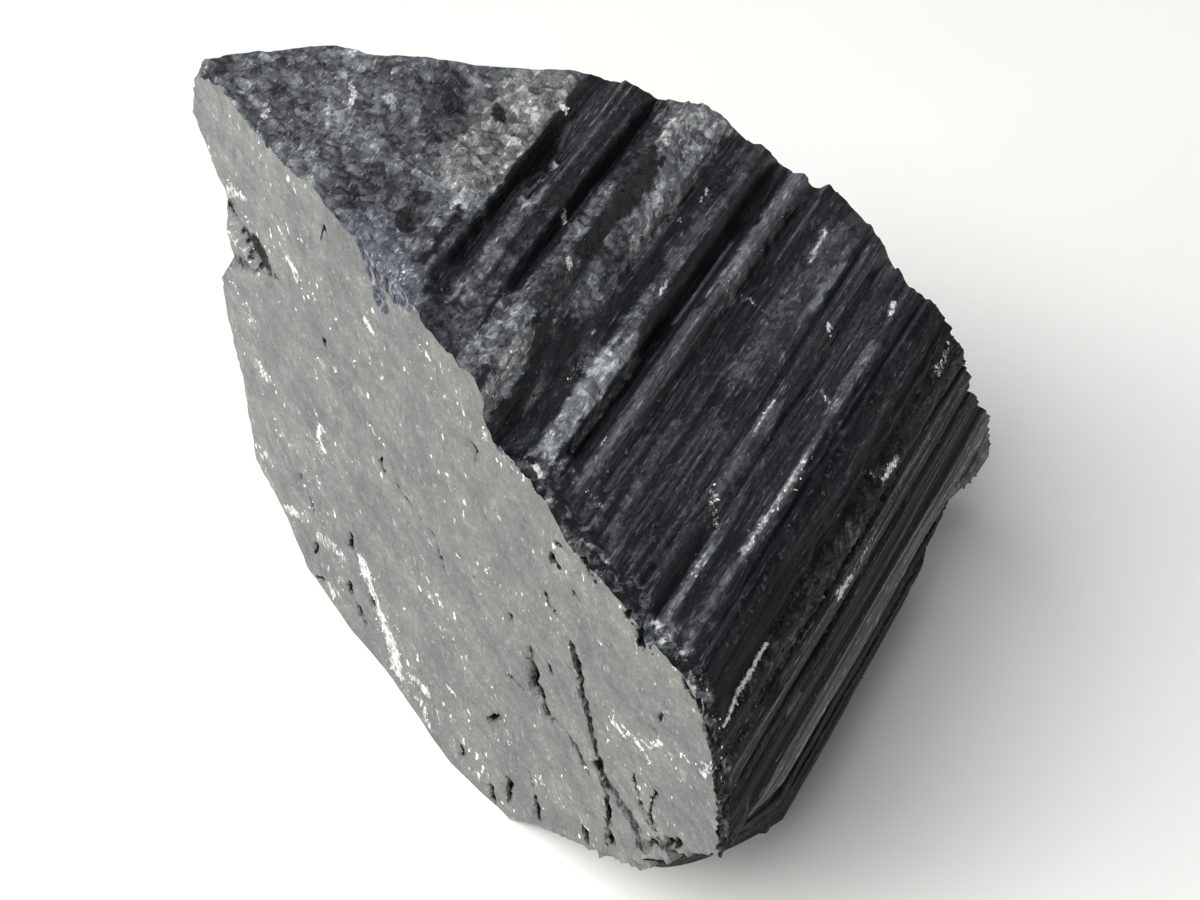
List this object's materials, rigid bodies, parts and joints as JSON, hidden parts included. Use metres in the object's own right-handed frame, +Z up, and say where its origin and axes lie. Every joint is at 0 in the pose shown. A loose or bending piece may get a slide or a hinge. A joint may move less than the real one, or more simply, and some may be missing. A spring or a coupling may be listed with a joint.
{
  "type": "tourmaline crystal",
  "caption": "Loose chunk of raw black tourmaline: a ridged prism lying on its side, with a flat sawn face at one end and a rough fracture at the other.",
  "frame": {"origin": "middle of the bounding box's underside, on the surface that the chunk lies on", "axes": "+Y along the crystal's long axis, from the sawn face to the fracture; +X across the prism, toward the steep ridged side face; +Z up"},
  "size_m": [0.0438, 0.0392, 0.0392],
  "materials": {
    "schorl": "glassy to rough natural black stone, with one dull pale grey sawn face"
  },
  "bodies": {
    "root": {"tourmaline_crystal": "schorl"}
  },
  "joints": []
}
